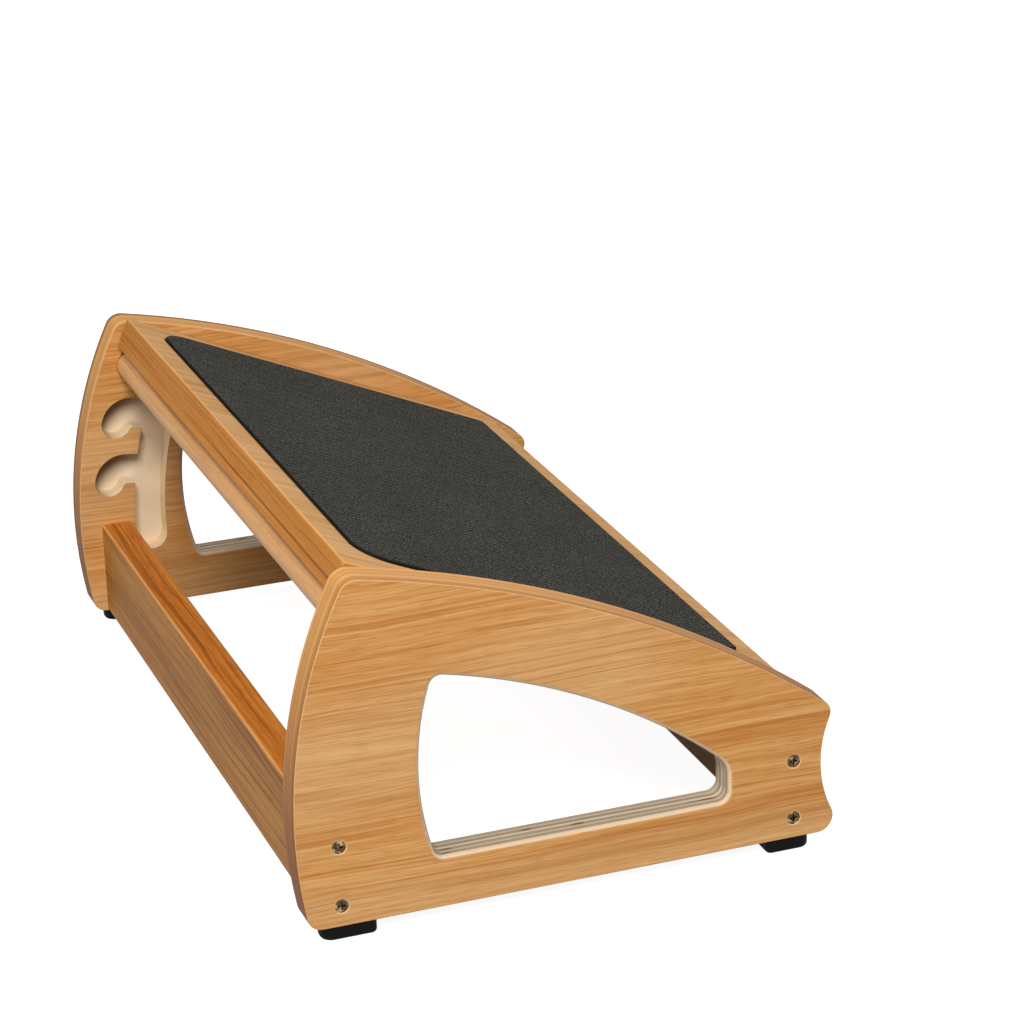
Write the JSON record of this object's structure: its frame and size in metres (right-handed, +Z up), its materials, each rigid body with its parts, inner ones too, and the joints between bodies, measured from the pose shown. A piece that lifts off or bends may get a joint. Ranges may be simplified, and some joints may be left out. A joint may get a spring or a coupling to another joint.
{
  "type": "under-desk footrest",
  "caption": "Wooden under-desk footrest with shaped side panels, low rails, a tilting board with a grip mat, and a rod that sits in hooks to set the slope.",
  "frame": {"origin": "on the floor under the middle of the whole footrest", "axes": "+X from the left panel to the right one as a sitting person sees them, +Y from the heel end to the toe end, +Z up"},
  "size_m": [0.45, 0.281, 0.1872],
  "materials": {
    "panel_plywood": "oak veneer on plywood, satin, horizontal grain, darker stained outer edges with ply lines, raw pale ply inside the window",
    "rail_plywood": "veneered plywood, satin, grain along the rail",
    "board_plywood": "veneered plywood, satin, grain across the footrest",
    "rod_wood": "plain hardwood bar, sanded",
    "mat": "dark grey anti-slip mat with a fine woven texture, matt",
    "foot_rubber": "black rubber, matt",
    "rail_screw_steel": "antique bronze plated countersunk screw with a cross recess",
    "foot_screw_steel": "zinc plated screw",
    "pin_steel": "plain ground pin",
    "bush_nylon": "natural nylon"
  },
  "bodies": {
    "stand": {"left_side_panel": "panel_plywood", "right_side_panel": "panel_plywood", "toe_rail": "rail_plywood", "heel_rail": "rail_plywood", "left_pivot_bush": "bush_nylon", "left_toe_rail_screws": "rail_screw_steel", "left_toe_foot": "foot_rubber", "left_heel_rail_screws": "rail_screw_steel", "left_heel_foot": "foot_rubber", "left_foot_screws": "foot_screw_steel", "right_pivot_bush": "bush_nylon", "right_toe_rail_screws": "rail_screw_steel", "right_toe_foot": "foot_rubber", "right_heel_rail_screws": "rail_screw_steel", "right_heel_foot": "foot_rubber", "right_foot_screws": "foot_screw_steel"},
    "tilting_board": {"footboard": "board_plywood", "grip_mat": "mat", "left_pivot_pin": "pin_steel", "right_pivot_pin": "pin_steel"},
    "rod": {"support_rod": "rod_wood"}
  },
  "joints": [
    {"name": "footboard_tilt", "type": "hinge", "parent": "stand", "child": "tilting_board", "pos_m": [0, -0.10495, 0.0878], "axis": [1, 0, 0], "range_deg": [0, 175]},
    {"name": "support_rod_roll", "type": "hinge", "parent": "stand", "child": "rod", "pos_m": [0, 0.09576, 0.15485], "axis": [1, 0, 0], "range_deg": [0, 87.5]}
  ],
  "couplings": [
    {"joint": "support_rod_roll", "follows": "footboard_tilt", "ratio": 0.5}
  ]
}
